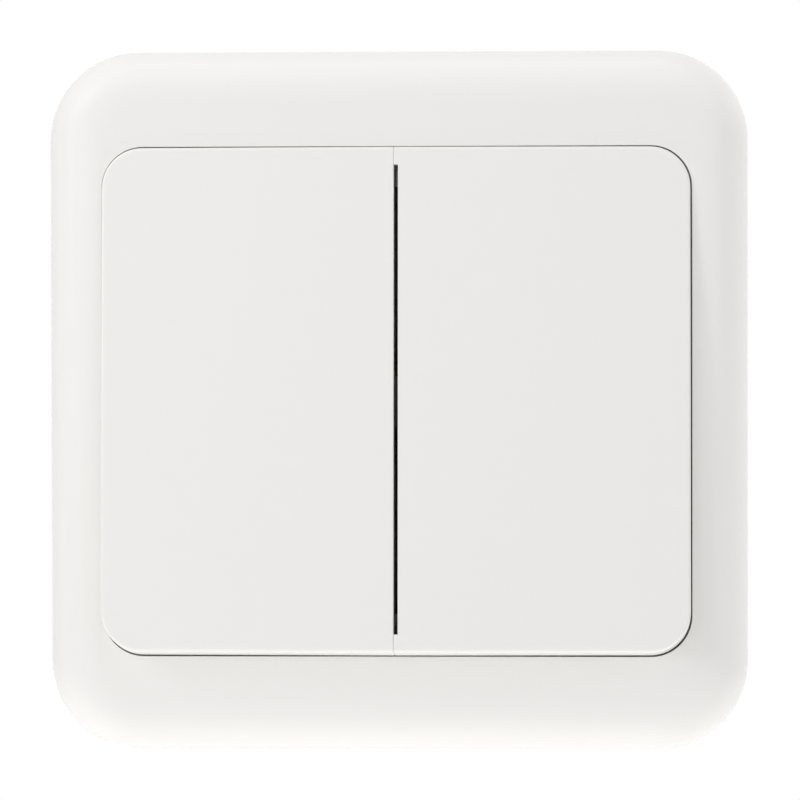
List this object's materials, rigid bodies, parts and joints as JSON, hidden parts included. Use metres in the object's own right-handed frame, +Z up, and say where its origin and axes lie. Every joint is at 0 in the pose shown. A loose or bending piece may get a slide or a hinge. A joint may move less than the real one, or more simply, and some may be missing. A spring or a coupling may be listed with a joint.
{
  "type": "double light switch",
  "caption": "Flush wall light switch: side by side rockers in a square rounded frame, with tipping contacts, screw terminals and spreading claws behind.",
  "frame": {"origin": "centre of the switch on the wall plane, midway between the two wall box screws", "axes": "+X to the right seen from the room, +Z up, -Y out of the wall towards the room, +Y into the wall box"},
  "size_m": [0.082, 0.036, 0.082],
  "materials": {
    "white_plastic": "gloss",
    "dark_plastic": "satin",
    "natural_plastic": "satin",
    "zinc_steel": "zinc plated",
    "brass": "bright",
    "silver": "polished"
  },
  "bodies": {
    "base": {"front_frame": "white_plastic", "bearing_plate": "dark_plastic", "support_yoke": "zinc_steel", "base_block": "dark_plastic", "common_bus": "brass", "common_terminal": "brass", "left_fixed_contact": "silver", "right_fixed_contact": "silver", "left_fixed_strip": "brass", "right_fixed_strip": "brass", "left_terminal": "brass", "right_terminal": "brass", "terminal_screws": "zinc_steel", "claw_screws": "zinc_steel"},
    "left_rocker": {"left_rocker": "white_plastic", "left_carrier": "natural_plastic", "left_spring": "zinc_steel"},
    "left_plunger": {"left_plunger": "natural_plastic"},
    "left_contact": {"left_contact_seesaw": "brass", "left_moving_contact": "silver"},
    "left_claw": {"left_claw": "zinc_steel"},
    "right_rocker": {"right_rocker": "white_plastic", "right_carrier": "natural_plastic", "right_spring": "zinc_steel"},
    "right_plunger": {"right_plunger": "natural_plastic"},
    "right_contact": {"right_contact_seesaw": "brass", "right_moving_contact": "silver"},
    "right_claw": {"right_claw": "zinc_steel"}
  },
  "joints": [
    {"name": "left_rocker_tilt", "type": "hinge", "parent": "base", "child": "left_rocker", "pos_m": [-0.0105, -0.0042, 0], "axis": [1, 0, 0], "range_deg": [0, 6.4]},
    {"name": "left_plunger_slide", "type": "slide", "parent": "left_rocker", "child": "left_plunger", "axis": [0, -0.9984, 0.0558], "range_m": [0, 0.0008], "stiffness_N_per_m": 400, "springref_m": -0.004, "deforming": ["left_spring"]},
    {"name": "left_contact_tilt", "type": "hinge", "parent": "base", "child": "left_contact", "pos_m": [-0.0105, 0.0108, 0], "axis": [1, 0, 0], "range_deg": [-20, 0]},
    {"name": "left_claw_spread", "type": "hinge", "parent": "base", "child": "left_claw", "pos_m": [-0.024, 0.0185, 0], "axis": [0, 0, -1], "range_deg": [0, 12]},
    {"name": "right_rocker_tilt", "type": "hinge", "parent": "base", "child": "right_rocker", "pos_m": [0.0105, -0.0042, 0], "axis": [1, 0, 0], "range_deg": [0, 6.4]},
    {"name": "right_plunger_slide", "type": "slide", "parent": "right_rocker", "child": "right_plunger", "axis": [0, -0.9984, 0.0558], "range_m": [0, 0.0008], "stiffness_N_per_m": 400, "springref_m": -0.004, "deforming": ["right_spring"]},
    {"name": "right_contact_tilt", "type": "hinge", "parent": "base", "child": "right_contact", "pos_m": [0.0105, 0.0108, 0], "axis": [1, 0, 0], "range_deg": [-20, 0]},
    {"name": "right_claw_spread", "type": "hinge", "parent": "base", "child": "right_claw", "pos_m": [0.024, 0.0185, 0], "axis": [0, 0, 1], "range_deg": [0, 12]}
  ],
  "couplings": [
    {"joint": "left_contact_tilt", "follows": "left_rocker_tilt", "ratio": -3.125},
    {"joint": "right_contact_tilt", "follows": "right_rocker_tilt", "ratio": -3.125}
  ]
}
